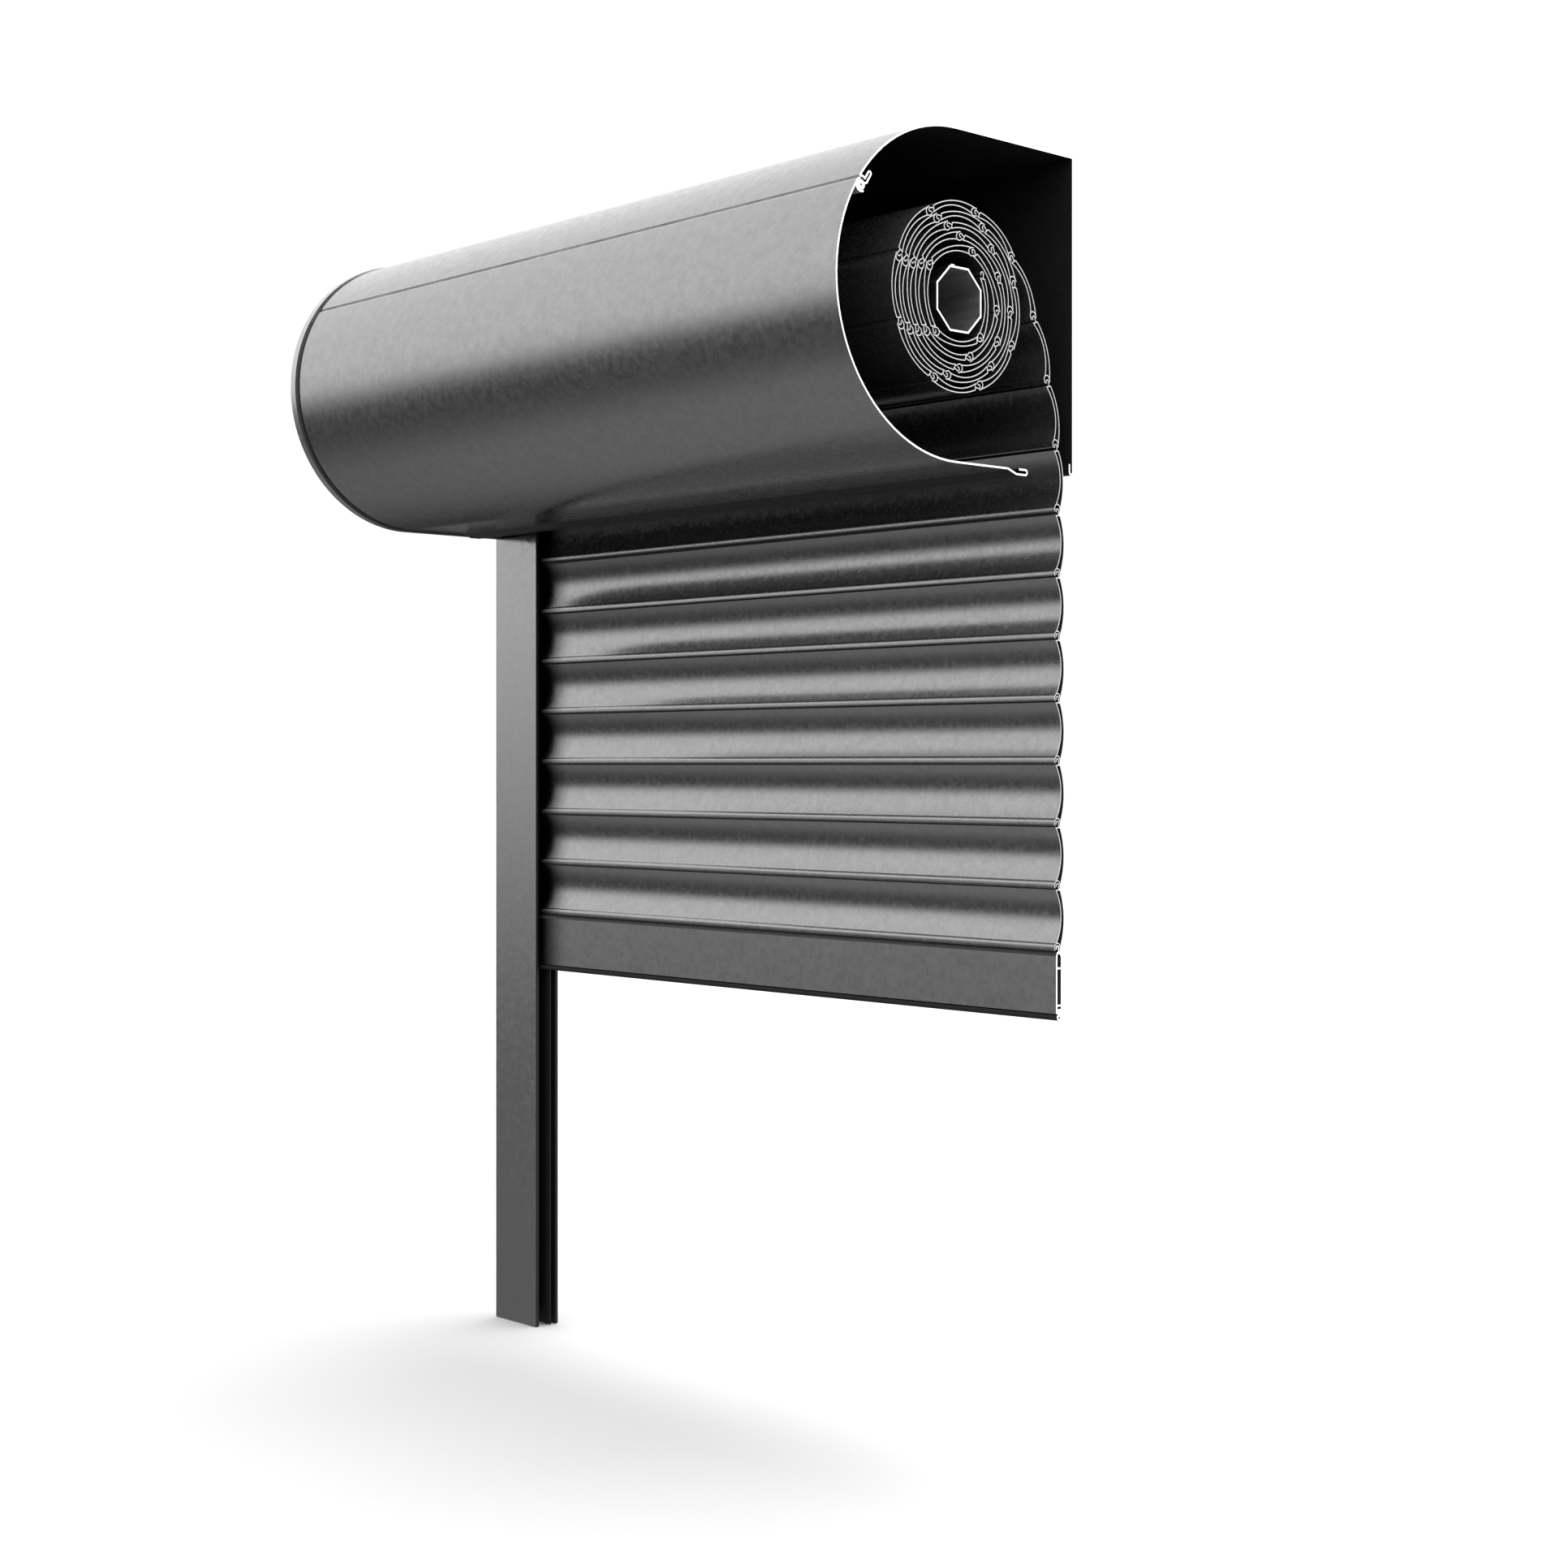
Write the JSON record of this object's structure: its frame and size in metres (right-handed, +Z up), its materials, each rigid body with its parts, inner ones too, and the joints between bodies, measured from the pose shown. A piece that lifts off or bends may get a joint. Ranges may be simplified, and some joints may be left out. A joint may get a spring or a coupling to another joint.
{
  "type": "exterior roller shutter",
  "caption": "Front-mounted roller shutter with a round-fronted box, wound slat curtain on a motor-driven octagonal tube, side guide rail and hinged cover; cut-away sample.",
  "frame": {"origin": "on the wall plane, which is the back of the box, at mid-width and at the height of the roller axis", "axes": "+X along the roller towards the cut end, +Y into the wall, +Z up"},
  "size_m": [0.592, 0.213, 0.837],
  "materials": {
    "painted_aluminium": "satin powder coat",
    "slat_aluminium": "satin paint",
    "bar_aluminium": "satin powder coat",
    "black_plastic": "matte",
    "steel": "zinc plated",
    "rubber": "matte"
  },
  "bodies": {
    "housing": {"upper_sheet": "painted_aluminium", "end_cap": "painted_aluminium", "end_cap_core": "black_plastic", "motor_bracket": "steel", "bracket_screws": "steel", "motor_head": "black_plastic", "motor_tube": "steel", "cable_gland": "rubber", "guide_rail": "painted_aluminium", "rail_front_seal": "rubber", "rail_back_seal": "rubber", "inlet_guide": "black_plastic", "cap_screws": "steel", "sheet_rivets": "steel"},
    "cover": {"front_cover": "painted_aluminium"},
    "roller": {"roller_tube": "steel", "motor_crown": "black_plastic", "drive_wheel": "black_plastic", "drive_shaft": "steel", "shaft_clip": "steel", "tube_screws": "steel", "hanger_straps": "steel", "hanger_screws": "steel", "wound_turn_1": "slat_aluminium", "wound_turn_2": "slat_aluminium", "wound_turn_3": "slat_aluminium", "wound_turn_4": "slat_aluminium", "wound_turn_5": "slat_aluminium"},
    "curtain": {"slat_1": "slat_aluminium", "slat_2": "slat_aluminium", "slat_3": "slat_aluminium", "slat_4": "slat_aluminium", "slat_5": "slat_aluminium", "slat_6": "slat_aluminium", "slat_7": "slat_aluminium", "bottom_slat": "bar_aluminium", "bottom_seal": "rubber"},
    "transfer_1": {"transfer_slat_1": "slat_aluminium"},
    "transfer_2": {"transfer_slat_2": "slat_aluminium"},
    "transfer_3": {"transfer_slat_3": "slat_aluminium"},
    "transfer_4": {"transfer_slat_4": "slat_aluminium"}
  },
  "joints": [
    {"name": "roller_spin", "type": "hinge", "parent": "housing", "child": "roller", "pos_m": [0, -0.107, 0], "axis": [-1, 0, 0], "range_deg": [-10.54, 10.54]},
    {"name": "curtain_travel", "type": "slide", "parent": "housing", "child": "curtain", "axis": [0, 0, -1], "range_m": [-0.011, 0.011]},
    {"name": "hook_hinge_4", "type": "hinge", "parent": "curtain", "child": "transfer_4", "pos_m": [0, -0.0156, -0.12247], "axis": [-1, 0, 0], "range_deg": [-1.12, 1.12]},
    {"name": "hook_hinge_3", "type": "hinge", "parent": "transfer_4", "child": "transfer_3", "pos_m": [0, -0.01724, -0.0816], "axis": [-1, 0, 0], "range_deg": [-0.57, 0.57]},
    {"name": "hook_hinge_2", "type": "hinge", "parent": "transfer_3", "child": "transfer_2", "pos_m": [0, -0.02529, -0.0415], "axis": [-1, 0, 0], "range_deg": [-0.3774, 0.3774]},
    {"name": "hook_hinge_1", "type": "hinge", "parent": "transfer_2", "child": "transfer_1", "pos_m": [0, -0.03828, -0.00272], "axis": [-1, 0, 0], "range_deg": [-2.02, 2.02]},
    {"name": "cover_swing", "type": "hinge", "parent": "housing", "child": "cover", "pos_m": [0, -0.19122, 0.05659], "axis": [-1, 0, 0], "range_deg": [0, 55]}
  ],
  "couplings": [
    {"joint": "curtain_travel", "follows": "roller_spin", "m_per_rad": 0.059805},
    {"joint": "hook_hinge_4", "follows": "roller_spin", "ratio": 0.10662},
    {"joint": "hook_hinge_3", "follows": "roller_spin", "ratio": 0.054021},
    {"joint": "hook_hinge_2", "follows": "roller_spin", "ratio": 0.035721},
    {"joint": "hook_hinge_1", "follows": "roller_spin", "ratio": 0.19198}
  ]
}
